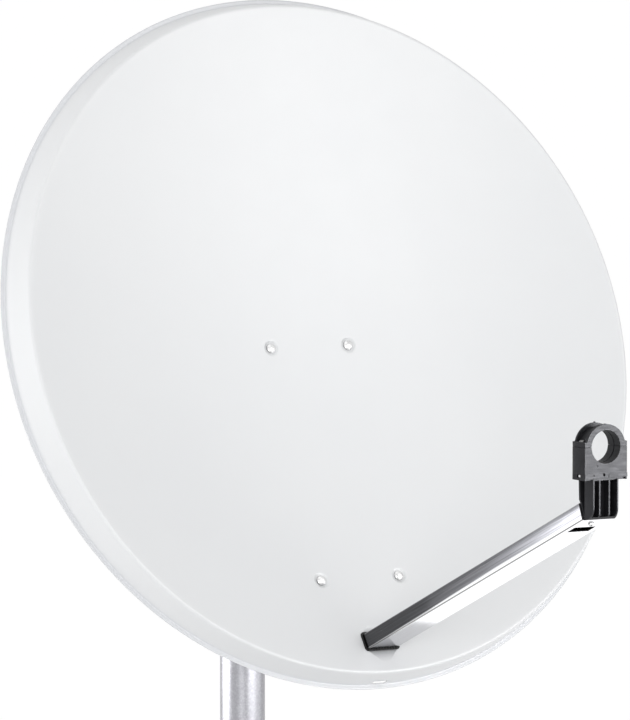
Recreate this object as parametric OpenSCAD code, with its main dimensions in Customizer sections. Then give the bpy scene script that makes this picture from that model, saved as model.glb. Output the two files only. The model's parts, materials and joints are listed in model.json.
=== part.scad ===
// Offset satellite dish on a mast.
// The origin is the centre of the mast's foot, +Z is up and the dish faces -Y.

/* [Reflector] */
// Width across the front edge
rim_w = 868; // [780:1:960]
// Height of the front edge, measured up its slope
rim_h = 892; // [800:1:980]
// Focal length of the paraboloid
focal = 575; // [520:1:640]
// Angle of the beam above the normal of the front edge
beam_offset = 22.6; // [20:0.1:25]
// Angle of that normal above the horizon
face_tilt = 19.4; // [10:0.1:30]
// Thickness of the pressed sheet
sheet = 0.8; // [0.6:0.1:1.5]
// Depth of the skirt, from the front edge to the back lip
skirt_depth = 44; // [36:1:54]
// Widening of the skirt from front to back, on each side
skirt_flare = 11; // [6:0.5:16]
// Width of the lip that turns outward at the back
lip_w = 6; // [3:0.5:9]
// Rise of the back lip over the front edge, up the slope
lip_rise = 4; // [0:0.5:8]
// Length of the drain slot at the bottom of the skirt
drain_l = 22; // [12:1:40]
// Width of the drain slot
drain_w = 5; // [3:0.5:8]

/* [Reflector fixing] */
// Distance between the bolts across the face
bolt_span = 114; // [90:1:140]
// Height of the upper bolts above the middle of the face
upper_row = 2; // [-20:1:30]
// Distance of the lower bolts from the lower front edge
lower_row = 132; // [115:1:160]
// Radius of the round seat pressed in the face for a bolt
seat_r = 9; // [8:0.5:12]
// Depth of that seat
seat_depth = 2; // [1.5:0.1:3]
// Space between the back of the face and the bracket
bracket_gap = 3.1; // [2:0.1:8]
// Outer radius of the spacers
spacer_r = 8; // [6.5:0.5:9]

/* [Dish bracket] */
// Thickness of the bracket's sheet
bracket_t = 3; // [2:0.5:5]
// Length of the bracket past the upper bolts
bracket_over = 26; // [18:1:40]
// Distance from the bracket's back to the elevation pivot
pivot_back = 85.3; // [78:0.1:110]
// Distance of the pivot up the bracket, from halfway between the bolts
pivot_up = 20.6; // [0:0.1:40]
// Edge of sheet left round a bolt hole
hole_edge = 13; // [10:1:18]

/* [Mount head] */
// Thickness of the head's sheet
head_t = 3; // [2:0.5:5]
// Height of the head along the mast
head_h = 160; // [150:1:190]
// Height of the pivot above the head's lower edge
pivot_lift = 50; // [30:1:60]
// Distance of the pivot from the mast's axis
pivot_reach = 150; // [145:1:190]
// Distance of the pivot below the top of the mast
pivot_drop = 170; // [130:1:190]
// Radius of the elevation slot about the pivot
slot_r = 72; // [60:1:74]
// Travel of the dish down from its resting angle
tilt_down = 27; // [10:1:30]
// Travel of the dish up from its resting angle
tilt_up = 18; // [10:1:20]
// Play between the head's cheeks and the dish bracket
side_gap = 0.3; // [0.2:0.1:0.6]

/* [Mast and clamp] */
// Outside diameter of the mast
mast_d = 60; // [50:1:66]
// Wall of the mast
mast_wall = 2.5; // [2:0.1:4]
// Length of the mast
mast_len = 600; // [500:5:900]
// Length of the narrowed foot, which plugs into a mast section below
spigot_l = 70; // [50:1:120]
// Radial play of that foot in the section below
spigot_play = 0.2; // [0.1:0.05:0.4]
// Thickness of the cap on the mast
cap_t = 4; // [2:0.5:8]
// Height of a clamp jaw
jaw_h = 34; // [26:1:44]
// Thickness of a jaw's sheet
jaw_t = 3; // [2:0.5:5]
// Distance of a jaw's middle from the end of the head
jaw_inset = 26; // [24:1:36]
// Angle of the jaws' notch
jaw_angle = 120; // [100:1:130]
// Pitch of the teeth in the notch
tooth_pitch = 4; // [3:0.5:6]
// Depth of the teeth
tooth_depth = 1.2; // [0.6:0.1:2]
// Room between the mast and a clamp bolt
clamp_room = 7; // [4:0.5:12]

/* [Feed arm] */
// Width of the tube
arm_w = 45; // [38:0.5:52]
// Height of the tube
arm_h = 21.4; // [18:0.1:26]
// Wall of the tube
arm_wall = 1.8; // [1.2:0.1:2.5]
// Distance of the arm's axis from the lower front edge
arm_inset = 44.6; // [38:0.1:56]
// Angle of the arm above the normal of the front edge
arm_rise = 3.13; // [0:0.01:6]
// Length of the arm in front of the plane of the front edge
arm_reach = 541; // [480:1:600]
// Length of the arm behind its bracket's base
arm_stub = 52.5; // [46:0.5:80]
// Width of the cable slot under the tip
cable_slot_w = 30; // [16:1:32]
// Length of the cable slot
cable_slot_l = 19; // [10:1:30]
// Distance from the tip to the cable slot
cable_slot_back = 31; // [30:1:60]
// Wall of the grommet round the arm
grommet_wall = 1.6; // [1.2:0.1:4]
// Overlap of the grommet's lips on the face
grommet_lip = 1.1; // [0.8:0.1:3]

/* [Feed holder] */
// Angle between the arm and the feed's axis
clamp_bend = 22.53; // [15:0.01:30]
// Diameter of the feed's neck
feed_d = 40; // [38:0.5:42]
// Wall of the ring round the neck
ring_wall = 7; // [5:0.5:10]
// Length of the ring along the neck
ring_depth = 28; // [20:1:36]
// Height of the neck's axis above the arm's tip
feed_lift = 77.8; // [70:0.1:95]
// Distance of the ring's front face ahead of the arm's tip
feed_lead = 21; // [16:0.5:26]
// Half width over the clamp's ears
ear_half = 29.3; // [29:0.1:36]
// Thickness of the cap's ears
ear_t = 6; // [4:0.5:9]
// Depth of the lower block below the neck's axis
block_drop = 39.5; // [34:0.5:44]
// Width of the ribbed tongue
tongue_w = 40; // [34:1:44]
// Width of the tongue's front
tongue_nose = 35; // [28:1:36]
// Distance of the tongue's front ahead of the ring's front
tongue_lead = 0; // [0:0.5:6]
// Rounding of the tongue's toe
toe_r = 16; // [8:1:16]
// Slit between the two halves of the clamp
split_gap = 0.4; // [0.2:0.1:1.5]

/* [Fasteners] */
// Diameter of the reflector and arm bolts
small_d = 6; // [5:1:6]
// Diameter of the pivot, lock and clamp bolts
large_d = 8; // [7:1:8]
// Diameter of the feed holder's screws
fine_d = 4; // [3:0.5:4]
// Radial play of a bolt in an ordinary hole
hole_play = 0.3; // [0.1:0.1:0.6]
// Radial play of the pivot bolt in the dish bracket
pivot_play = 0.05; // [0.02:0.01:0.1]

/* [Hidden] */
$fn = 72;

// Small distances that only keep cuts and faces apart
over = 1;
seat_gap = 0.3;
end_step = 0.05;

// Sizes of the hardware, from its diameter
function hex_flats(d) = 1.5 * d + 1;
function hex_corner(d) = hex_flats(d) / 2 / cos(30);
function bolt_head(d) = 0.66 * d;
function nut_h(d) = 0.8 * d;
function washer_t(d) = 0.2 * d;
function washer_r(d) = d + 0.25;
function bolt_end(d) = 0.5 * d;

// Turns a point [a, b] of a side view by an angle
function turn(angle, p) = [
    p[0] * cos(angle) - p[1] * sin(angle),
    p[0] * sin(angle) + p[1] * cos(angle)
];

// The face, in the frame of its front edge: u across, v up the slope, w forward
vertex_y = 2 * focal * tan(beam_offset);
mean_r = (rim_w / 2 + rim_h / 2 * cos(beam_offset)) / 2;
vertex_z = (mean_r * mean_r + vertex_y * vertex_y) / (4 * focal);

function face_w(u, v) =
    let (
        s = sin(beam_offset),
        c = cos(beam_offset),
        y = vertex_y + v * c,
        qa = s * s,
        qb = -2 * y * s - 4 * focal * c,
        qc = u * u + y * y - 4 * focal * (vertex_z + v * s)
    )
    (-qb - sqrt(qb * qb - 4 * qa * qc)) / (2 * qa);

bowl_floor = face_w(0, 0) - skirt_depth / 2;

function face_slope(v) = atan(face_w(0, v + 0.5) - face_w(0, v - 0.5));

// The bracket's frame: y up the bracket from halfway between the bolts, z forward
bolt_high = [upper_row, face_w(bolt_span / 2, upper_row)];
bolt_low_v = lower_row - rim_h / 2;
bolt_low = [bolt_low_v, face_w(bolt_span / 2, bolt_low_v)];
bracket_mid = (bolt_high + bolt_low) / 2;
bolt_line = bolt_high - bolt_low;
bracket_lean = atan2(bolt_line[1], bolt_line[0]);
row_half = norm(bolt_line) / 2;
bulge = (bracket_mid[1] - face_w(0, bracket_mid[0])) * cos(bracket_lean);
bracket_front = -(bulge + sheet + bracket_gap);
bracket_back = bracket_front - bracket_t;
spacer_back = -seat_depth - sheet;

function to_bracket(p) = turn(-bracket_lean, p - bracket_mid);

// The pivot places the whole dish
pivot_bracket = [pivot_up, bracket_back - pivot_back];
pivot_rim = bracket_mid + turn(bracket_lean, pivot_bracket);
pivot = [-pivot_reach, mast_len - pivot_drop];
rim_at = pivot - turn(90 - face_tilt, pivot_rim);
lock_rest = (tilt_down - tilt_up) / 2;
slot_half = (tilt_down + tilt_up) / 2;
lock = pivot + slot_r * [sin(lock_rest), cos(lock_rest)];
lock_bracket = to_bracket(turn(face_tilt - 90, lock - rim_at));

// The clamp round the mast and the widths that follow from it
mast_r = mast_d / 2;
spigot_r = mast_r - mast_wall - spigot_play;
spigot_step = 2 * mast_wall;
cap_rim = 1;
jaw_apex = (mast_r + seat_gap) / sin(jaw_angle / 2);
jaw_back = jaw_apex + tooth_depth + jaw_t;
jaw_front = jaw_back + jaw_t;
clamp_x = mast_r + large_d / 2 + clamp_room;
jaw_half = clamp_x + washer_r(large_d) + over;
cheek_in = clamp_x + hex_corner(large_d) + over;
cheek_out = cheek_in + head_t;
flange_out = cheek_in - side_gap;
head_low = pivot[1] - pivot_lift;
jaw_heights = [head_low + jaw_inset, head_low + head_h - jaw_inset];
lock_edge = large_d / 2 + seat_gap + 7;
pivot_edge = 2 * large_d;

// The arm, along its own axis from the plane of the front edge
arm_low = rim_h / 2 - arm_inset;
arm_origin = to_bracket([-arm_low, 0]);
arm_way = turn(-bracket_lean, [sin(arm_rise), cos(arm_rise)]);
arm_bracket_t = bracket_t;
arm_base_z = bracket_back - arm_bracket_t / 2;
arm_at_base = (arm_base_z - arm_origin[1]) / arm_way[1];
arm_tail = arm_stub - arm_at_base;
arm_cross = arm_origin[0] + arm_at_base * arm_way[0];
arm_base_half = [arm_w / 2 + 20, arm_h / 2 + 22];
arm_bolt_at = [arm_w / 2 + 10, arm_h / 2 + 13];
tab_h = arm_h + 14;
tab_gap = 0.2;
cross_first = 2.6 * small_d;
cross_pitch = 4.2 * small_d;
arm_corner = 2;
tube_in = [arm_w / 2 - arm_wall - seat_gap, arm_h / 2 - arm_wall - seat_gap];
plug_len = cable_slot_back - 4;
holder_screw_back = 17;

// Where the arm goes through the face
function arm_v(w) = -arm_low + w * tan(arm_rise);
slot_first = face_w(0, arm_v(0));
slot_second = face_w(0, arm_v(slot_first));
slot_v = arm_v(slot_second);
slot_w = face_w(0, slot_v);
slot_lean = face_slope(slot_v);
slot_skew = -slot_lean - arm_rise;
slot_half_u = arm_w / 2 + grommet_wall;
slot_half_v = arm_h / 2 / cos(slot_skew) + grommet_wall;
lip_t = 1.2;
lip_sag = (slot_half_u + grommet_lip) * (slot_half_u + grommet_lip) / (4 * focal) + seat_gap;

// The feed holder
feed_r = feed_d / 2;
ring_r = feed_r + ring_wall;
feed_mid = ring_depth / 2 - feed_lead;
block_low = feed_lift - block_drop;
screw_x = (feed_r + ear_half) / 2;
screw_head_r = 0.9 * fine_d;
tongue_front = -feed_lead - tongue_lead;
tongue_back = ring_depth - feed_lead + 2;
nose_l = ring_depth / 2;
rib_t = 1.6;
rib_x = (tongue_nose - rib_t) / 5;
rib_back = 3;
side_front = tongue_front + nose_l + rib_t;
boss_bulge = 2.6;
boss_r = (ring_depth * ring_depth / 4 + boss_bulge * boss_bulge) / (2 * boss_bulge);
boss_turn = asin(ring_depth / 2 / boss_r);
strip_low = block_low + 3.2;
strip_high = strip_low + 5;
strip_out = 1.2;
strip_notches = [[-17, 1], [-3, 3]];
strip_pad = [3.5, 16];
mark_at = [-12.4, strip_high + 8.5];
nut_low = block_low + 3.4;
front_ring = 5;
rear_ring = 3.5;
ring_floor = feed_r + ring_wall / 3;
bore_groove = 1;
arm_end = [arm_h / 2 * sin(clamp_bend), arm_h / 2 * cos(clamp_bend)];
pocket_floor = 0.25 * toe_r - arm_end[1];

zinc = "lightsteelblue";
black = "#26262a";
paint = "gainsboro";

// Frames

module in_rim() translate([0, rim_at[0], rim_at[1]]) rotate([90 - face_tilt, 0, 0]) children();

module in_bracket() in_rim() translate([0, bracket_mid[0], bracket_mid[1]]) rotate([bracket_lean, 0, 0]) children();

module in_arm() in_rim() translate([0, -arm_low, 0]) rotate([-arm_rise, 0, 0]) children();

module in_holder() in_arm() translate([0, 0, arm_reach]) rotate([clamp_bend - 90, 0, 0]) children();

module in_slot() in_rim() translate([0, slot_v, slot_w]) rotate([slot_lean, 0, 0]) children();

module at_reflector_bolts() {
    for (x = [-1, 1], y = [-1, 1]) in_bracket() translate([x * bolt_span / 2, y * row_half, 0]) children();
}

module at_arm_bolts() {
    for (x = [-1, 1], y = [-1, 1])
        in_bracket() translate([x * arm_bolt_at[0], arm_cross + y * arm_bolt_at[1], 0]) children();
}

module at_cross_bolts() {
    for (i = [0, 1]) in_arm() translate([0, 0, -arm_tail + cross_first + i * cross_pitch]) children();
}

module at_clamp_bolts() {
    for (x = [-1, 1], z = jaw_heights) translate([x * clamp_x, 0, z]) children();
}

module at_ear_screws() {
    for (x = [-1, 1]) in_holder() translate([x * screw_x, feed_mid, 0]) children();
}

// Shapes that repeat

// A sheet whose outline is drawn in the side view, with x from x0 to x0 + t
module side_sheet(x0, t) translate([x0, 0, 0]) rotate([90, 0, 90]) linear_extrude(t) children();

module rounded_rect(half_x, half_y, r) {
    square([2 * half_x - 2 * r, 2 * half_y], center = true);
    square([2 * half_x, 2 * half_y - 2 * r], center = true);
    for (x = [-1, 1], y = [-1, 1]) translate([x * (half_x - r), y * (half_y - r)]) circle(r);
}

// The same with corners of short flats, for thin sheet
module soft_rect(half_x, half_y, r) {
    steps = 6;
    polygon([
        for (corner = [0:3], i = [0:steps])
            let (
                angle = 90 * (corner + i / steps),
                x = corner == 0 || corner == 3 ? half_x - r : r - half_x,
                y = corner < 2 ? half_y - r : r - half_y
            )
            [x + r * cos(angle), y + r * sin(angle)]
    ]);
}

module hex_prism(d, h) cylinder(r = hex_corner(d), h = h, $fn = 6);

// Bolt along +z whose head lies under z = 0
module hex_bolt(d, l) {
    translate([0, 0, -bolt_head(d)]) hex_prism(d, bolt_head(d));
    cylinder(d = d, h = l);
}

// Bolt along -z with a domed head that stands on z = 0
module dome_bolt(d, head_r, l) {
    translate([0, 0, -l]) cylinder(d = d, h = l);
    intersection() {
        translate([0, 0, bolt_head(d) - head_r * 1.6]) sphere(head_r * 1.6);
        cylinder(r = head_r, h = head_r);
    }
}

module hex_nut(d) difference() {
    hex_prism(d, nut_h(d));
    translate([0, 0, -over]) cylinder(r = d / 2 + hole_play / 3, h = nut_h(d) + 2 * over);
}

module washer(d) difference() {
    cylinder(r = washer_r(d), h = washer_t(d));
    translate([0, 0, -over]) cylinder(r = d / 2 + hole_play, h = washer_t(d) + 2 * over);
}

// A hole along x through everything
module cross_hole(r) rotate([0, 90, 0]) cylinder(r = r, h = 4 * arm_w + 4 * cheek_out, center = true);

// Mast

// Half section of the tube, with its narrowed foot, grown inward by a wall
function mast_profile(wall, past) = [
    [0, -past],
    [spigot_r - wall, -past],
    [spigot_r - wall, spigot_l],
    [mast_r - wall, spigot_l + spigot_step],
    [mast_r - wall, mast_len + past],
    [0, mast_len + past]
];

module mast_tube() color(zinc) difference() {
    rotate_extrude() polygon(mast_profile(0, 0));
    rotate_extrude() polygon(mast_profile(mast_wall, over));
}

module mast_cap() color(black) translate([0, 0, mast_len]) {
    cylinder(r = mast_r + cap_rim, h = cap_t);
    translate([0, 0, -5 * cap_t]) cylinder(r = mast_r - mast_wall - seat_gap, h = 5 * cap_t);
}

// Mount head

module cheek_outline() {
    hull() {
        translate([-jaw_front - head_t, head_low]) square([head_t, head_h]);
        translate(pivot) circle(pivot_edge, $fn = 32);
        for (i = [-2:2]) translate(pivot) rotate(-i * slot_half / 2) translate([0, slot_r]) circle(lock_edge, $fn = 32);
    }
}

// The elevation slot, with round ends, as an arc about the pivot
module elevation_slot(half_w) translate(pivot) {
    reach = 2 * slot_r;
    intersection() {
        difference() {
            circle(slot_r + half_w);
            circle(slot_r - half_w);
        }
        polygon([
            [0, 0],
            [-reach * sin(slot_half), reach * cos(slot_half)],
            [reach * sin(slot_half), reach * cos(slot_half)]
        ]);
    }
    for (i = [-1, 1]) rotate(i * slot_half) translate([0, slot_r]) circle(half_w - end_step);
}

module mount_head() color(zinc) difference() {
    union() {
        translate([-cheek_out, -jaw_front - head_t, head_low]) cube([2 * cheek_out, head_t, head_h]);
        side_sheet(cheek_in, head_t) cheek_outline();
        side_sheet(-cheek_out, head_t) cheek_outline();
    }
    for (x0 = [-cheek_out - over, cheek_in - over])
        side_sheet(x0, head_t + 2 * over) elevation_slot(large_d / 2 + seat_gap);
    translate([0, pivot[0], pivot[1]]) cross_hole(large_d / 2 + hole_play);
    at_clamp_bolts() translate([0, -jaw_front + over, 0]) rotate([90, 0, 0])
        cylinder(r = large_d / 2 + hole_play, h = head_t + 2 * over);
}

// Toothed edge of a jaw from the notch's bottom outward, as points [x, y] with the mast's axis at 0, 0
function jaw_edge() =
    let (
        along = [sin(jaw_angle / 2), cos(jaw_angle / 2)],
        inward = [cos(jaw_angle / 2), -sin(jaw_angle / 2)],
        teeth = floor((clamp_x - large_d) / along[0] / tooth_pitch)
    )
    [
        for (i = [0:2 * teeth])
            [0, -jaw_apex] + along * (i * tooth_pitch / 2) + inward * (i % 2 == 0 ? tooth_depth : 0)
    ];

module jaw_outline() {
    right = jaw_edge();
    last = right[len(right) - 1];
    half = concat(right, [[jaw_half, last[1]], [jaw_half, -jaw_back]]);
    polygon(concat(half, [for (i = [len(half) - 1:-1:1]) [-half[i][0], half[i][1]]]));
}

// Channel with two toothed shelves, in front of the mast
module jaw() {
    for (z = [-jaw_h / 2, jaw_h / 2 - jaw_t]) translate([0, 0, z]) linear_extrude(jaw_t) jaw_outline();
    difference() {
        translate([-jaw_half, -jaw_front, -jaw_h / 2]) cube([2 * jaw_half, jaw_t, jaw_h]);
        for (x = [-1, 1]) translate([x * clamp_x, -jaw_back + over, 0]) rotate([90, 0, 0])
            cylinder(r = large_d / 2 + hole_play, h = jaw_t + 2 * over);
    }
}

module front_jaws() color(zinc) for (z = jaw_heights) translate([0, 0, z]) jaw();

module rear_jaws() color(zinc) for (z = jaw_heights) translate([0, 0, z]) rotate([0, 0, 180]) jaw();

module clamp_bolts() color("silver") at_clamp_bolts()
    translate([0, -jaw_front - head_t, 0]) rotate([-90, 0, 0])
        hex_bolt(large_d, 2 * jaw_front + head_t + washer_t(large_d) + nut_h(large_d) + bolt_end(large_d));

module clamp_washers() color("silver") at_clamp_bolts()
    translate([0, jaw_front, 0]) rotate([-90, 0, 0]) washer(large_d);

module clamp_nuts() color("silver") at_clamp_bolts()
    translate([0, jaw_front + washer_t(large_d), 0]) rotate([-90, 0, 0]) hex_nut(large_d);

// Elevation pivot, held by the head's cheeks

module at_pivot() translate([0, pivot[0], pivot[1]]) rotate([0, 90, 0]) children();

module pivot_bolt() color("silver") at_pivot()
    translate([0, 0, -cheek_out - washer_t(large_d)])
        hex_bolt(large_d, 2 * cheek_out + 2 * washer_t(large_d) + nut_h(large_d) + bolt_end(large_d));

module pivot_washers() color("silver") at_pivot() {
    translate([0, 0, cheek_out]) washer(large_d);
    translate([0, 0, -cheek_out - washer_t(large_d)]) washer(large_d);
}

module pivot_nut() color("silver") at_pivot() translate([0, 0, cheek_out + washer_t(large_d)]) hex_nut(large_d);

// Reflector

// Everything behind the paraboloid, moved back by a distance
module behind_face(back) {
    band = 40;
    bands = ceil((vertex_y + rim_h / 2 + skirt_depth) / band) + 1;
    floor_z = -4 * skirt_depth;
    curve = [for (i = [0:bands]) [i * band, i * band * i * band / (4 * focal)]];
    translate([0, 0, -back]) rotate([-beam_offset, 0, 0]) translate([0, -vertex_y, -vertex_z])
        rotate_extrude($fn = 180) polygon(concat(curve, [[bands * band, floor_z], [0, floor_z]]));
}

// Everything inside the flared skirt, less a wall, with the bowl's room behind it
module inside_skirt(wall, lip, core, floor_w) {
    front = skirt_depth / 2;
    slope = skirt_flare / skirt_depth;
    half = rim_w / 2 - wall;
    flank = half + skirt_flare;
    multmatrix([
        [1, 0, 0, 0],
        [0, rim_h / rim_w, -lip_rise / skirt_depth, 0],
        [0, 0, 1, 0],
        [0, 0, 0, 1]
    ])
        rotate_extrude($fn = 180) polygon(concat(
            [[0, front], [half - slope * front, front]],
            lip > 0 ? [[flank - slope * sheet, sheet - skirt_depth], [flank + lip, sheet - skirt_depth]] : [],
            [[flank + lip, -skirt_depth], [core, -skirt_depth], [core, floor_w], [0, floor_w]]
        ));
}

module reflector() color(paint) difference() {
    in_rim() intersection() {
        behind_face(0);
        inside_skirt(0, lip_w, rim_w / 2, bowl_floor);
    }
    difference() {
        in_rim() intersection() {
            behind_face(sheet);
            inside_skirt(sheet, 0, rim_w / 2 + skirt_flare / 2, bowl_floor - skirt_depth);
        }
        at_reflector_bolts() translate([0, 0, spacer_back]) cylinder(r = seat_r + sheet, h = skirt_depth / 2);
    }
    at_reflector_bolts() {
        translate([0, 0, -seat_depth]) cylinder(r = seat_r, h = skirt_depth / 2);
        translate([0, 0, spacer_back - over]) cylinder(r = small_d / 2 + hole_play, h = skirt_depth / 2);
    }
    in_slot() translate([0, 0, -skirt_depth / 4]) linear_extrude(skirt_depth / 2)
        soft_rect(slot_half_u, slot_half_v, arm_corner + grommet_wall);
    in_rim() translate([-drain_l / 2, -rim_h / 2 - 2 * skirt_flare, -skirt_depth + 3 * sheet])
        cube([drain_l, 3 * skirt_flare, drain_w]);
}

module reflector_bolts() color("silver") at_reflector_bolts() translate([0, 0, -seat_depth])
    dome_bolt(small_d, 1.1 * small_d, -bracket_back - seat_depth + washer_t(small_d) + nut_h(small_d) + bolt_end(small_d));

module reflector_spacers() color(black) at_reflector_bolts() translate([0, 0, bracket_front]) difference() {
    cylinder(r = spacer_r, h = spacer_back - bracket_front);
    translate([0, 0, -over]) cylinder(r = small_d / 2 + hole_play, h = spacer_back - bracket_front + 2 * over);
}

module reflector_washers() color("silver") at_reflector_bolts()
    translate([0, 0, bracket_back - washer_t(small_d)]) washer(small_d);

module reflector_nuts() color("silver") at_reflector_bolts()
    translate([0, 0, bracket_back - washer_t(small_d) - nut_h(small_d)]) hex_nut(small_d);

// Dish bracket

module flange_outline() {
    foot = 2 * pivot_edge;
    hull() {
        translate(pivot_bracket) circle(pivot_edge, $fn = 32);
        translate(lock_bracket) circle(lock_edge, $fn = 32);
        translate([pivot_bracket[0] - foot, bracket_back]) square([lock_bracket[0] - pivot_bracket[0] + 2 * foot, bracket_t]);
    }
}

module dish_bracket() color(zinc) difference() {
    in_bracket() {
        low = arm_cross - arm_base_half[1];
        translate([-flange_out, low, bracket_back]) cube([2 * flange_out, row_half + bracket_over - low, bracket_t]);
        for (y = [-1, 1]) translate([-bolt_span / 2 - hole_edge, y * row_half - hole_edge, bracket_back])
            cube([bolt_span + 2 * hole_edge, 2 * hole_edge, bracket_t]);
        side_sheet(flange_out - bracket_t, bracket_t) flange_outline();
        side_sheet(-flange_out, bracket_t) flange_outline();
    }
    at_reflector_bolts() translate([0, 0, bracket_back - over]) cylinder(r = small_d / 2 + hole_play, h = bracket_t + 2 * over);
    at_arm_bolts() translate([0, 0, bracket_back - over]) cylinder(r = small_d / 2 + hole_play, h = bracket_t + 2 * over);
    in_arm() translate([0, 0, arm_at_base - bracket_t]) linear_extrude(4 * bracket_t)
        rounded_rect(arm_w / 2 + arm_bracket_t, arm_h / 2 + arm_bracket_t, arm_corner);
    translate([0, pivot[0], pivot[1]]) cross_hole(large_d / 2 + pivot_play);
    translate([0, lock[0], lock[1]]) cross_hole(large_d / 2 + hole_play / 3);
}

// Lock bolt, which rides with the dish along the head's slots

module at_lock() translate([0, lock[0], lock[1]]) rotate([0, 90, 0]) children();

module lock_bolt() color("silver") at_lock() {
    start = cheek_out + side_gap + washer_t(large_d);
    translate([0, 0, -start]) hex_bolt(large_d, 2 * start + nut_h(large_d) + bolt_end(large_d));
}

module lock_washers() color("silver") at_lock() {
    translate([0, 0, cheek_out + side_gap]) washer(large_d);
    translate([0, 0, -cheek_out - side_gap - washer_t(large_d)]) washer(large_d);
}

module lock_nut() color("silver") at_lock() translate([0, 0, cheek_out + side_gap + washer_t(large_d)]) hex_nut(large_d);

// Arm bracket on the back of the dish bracket

module arm_bracket() color(zinc) difference() {
    union() {
        in_bracket() translate([-arm_base_half[0], arm_cross - arm_base_half[1], bracket_back - arm_bracket_t])
            cube([2 * arm_base_half[0], 2 * arm_base_half[1], arm_bracket_t]);
        in_arm() for (x = [-arm_w / 2 - tab_gap - arm_bracket_t, arm_w / 2 + tab_gap])
            translate([x, -tab_h / 2, over - arm_tail]) cube([arm_bracket_t, tab_h, arm_at_base + arm_tail - over]);
    }
    in_arm() translate([0, 0, arm_at_base - 2 * arm_bracket_t]) linear_extrude(4 * arm_bracket_t)
        rounded_rect(arm_w / 2 + tab_gap, arm_h / 2 + tab_gap, arm_corner);
    at_arm_bolts() translate([0, 0, bracket_back - arm_bracket_t - over])
        cylinder(r = small_d / 2 + hole_play, h = arm_bracket_t + 2 * over);
    at_cross_bolts() cross_hole(small_d / 2 + hole_play);
}

module arm_bracket_bolts() color("silver") at_arm_bolts() translate([0, 0, bracket_front]) rotate([180, 0, 0])
    hex_bolt(small_d, bracket_t + arm_bracket_t + nut_h(small_d) + bolt_end(small_d));

module arm_bracket_nuts() color("silver") at_arm_bolts()
    translate([0, 0, bracket_back - arm_bracket_t - nut_h(small_d)]) hex_nut(small_d);

module arm_cross_bolts() color("silver") at_cross_bolts() rotate([0, 90, 0]) {
    start = arm_w / 2 + tab_gap + arm_bracket_t;
    translate([0, 0, -start]) hex_bolt(small_d, 2 * start + nut_h(small_d) + bolt_end(small_d));
}

module arm_cross_nuts() color("silver") at_cross_bolts() rotate([0, 90, 0])
    translate([0, 0, arm_w / 2 + tab_gap + arm_bracket_t]) hex_nut(small_d);

// Feed arm

module feed_arm() color("silver") difference() {
    in_arm() translate([0, 0, -arm_tail]) linear_extrude(arm_reach + arm_tail) difference() {
        rounded_rect(arm_w / 2, arm_h / 2, arm_corner);
        rounded_rect(arm_w / 2 - arm_wall, arm_h / 2 - arm_wall, arm_corner / 4);
    }
    in_arm() translate([-cable_slot_w / 2, -arm_h / 2 - over, arm_reach - cable_slot_back - cable_slot_l])
        cube([cable_slot_w, arm_wall + 2 * over, cable_slot_l]);
    in_arm() translate([0, -arm_h / 2 - over, arm_reach - holder_screw_back]) rotate([-90, 0, 0])
        cylinder(r = fine_d / 2 + hole_play, h = arm_wall + 2 * over);
    at_cross_bolts() cross_hole(small_d / 2 + hole_play);
}

module arm_grommet() color(black) difference() {
    in_slot() {
        translate([0, 0, -sheet - lip_sag - lip_t / 2]) linear_extrude(sheet + 2 * lip_sag + lip_t)
            soft_rect(slot_half_u - tab_gap, slot_half_v - tab_gap, arm_corner + grommet_wall);
        for (z = [lip_sag, -sheet - lip_sag - lip_t]) translate([0, 0, z]) linear_extrude(lip_t)
            soft_rect(slot_half_u + grommet_lip, slot_half_v + grommet_lip, arm_corner + grommet_wall + grommet_lip);
    }
    in_arm() translate([0, 0, -arm_tail]) linear_extrude(2 * arm_tail)
        rounded_rect(arm_w / 2 + tab_gap, arm_h / 2 + tab_gap, arm_corner);
}

// Feed holder

// Side view of the tongue, y back and z up from the middle of the arm's tip
module tongue_outline() {
    centre = [tongue_front + toe_r, toe_r - arm_end[1]];
    polygon([
        [tongue_front, block_low + over],
        [tongue_front, centre[1]],
        centre,
        [centre[0], -arm_end[1]],
        -arm_end,
        arm_end,
        [tongue_back - 2, arm_end[1] + 4],
        [tongue_back - 1, block_low + over]
    ]);
    intersection() {
        translate(centre) circle(toe_r);
        translate([centre[0] - toe_r, centre[1] - toe_r]) square(toe_r);
    }
}

// Plan of the tongue, drawn in towards its front
module tongue_plan() polygon([
    [-tongue_w / 2, tongue_back], [-tongue_w / 2, tongue_front + nose_l], [-tongue_nose / 2, tongue_front],
    [tongue_nose / 2, tongue_front], [tongue_w / 2, tongue_front + nose_l], [tongue_w / 2, tongue_back]
]);

// The space between two of the tongue's upright ribs
module rib_pocket(x0, x1) {
    translate([x0, tongue_front - over, pocket_floor])
        cube([x1 - x0, nose_l + over, block_low - seat_gap - pocket_floor]);
}

// The hollow in a side of the tongue, between its front and its rear plate
module side_pocket(x0) side_sheet(x0, tongue_w / 4 + over) polygon([
    [side_front, block_low - seat_gap],
    [side_front, (side_front + 2 * rib_t) * arm_end[1] / arm_end[0]],
    [arm_end[0] - 2 * rib_t, arm_end[1]],
    [tongue_back - 2 - 2 * rib_t, arm_end[1] + 4],
    [tongue_back - 1 - 2 * rib_t, block_low - seat_gap]
]);

// Plan of the block and of the cap's ears, with a round boss at each side
function boss_arc(side) = [
    for (i = [-8:8]) [
        side * (ear_half + boss_bulge - boss_r + boss_r * cos(boss_turn * i / 8)),
        side * boss_r * sin(boss_turn * i / 8)
    ]
];

module boss_plan() polygon(concat(boss_arc(1), boss_arc(-1)));

// A strip along the foot of the block's front, from x0 to x1
module front_strip(x0, x1, out) side_sheet(x0, x1 - x0) polygon([
    [over - feed_lead, strip_low], [-feed_lead - out, strip_low],
    [-feed_lead - out / 2, strip_high], [over - feed_lead, strip_high]
]);

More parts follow.
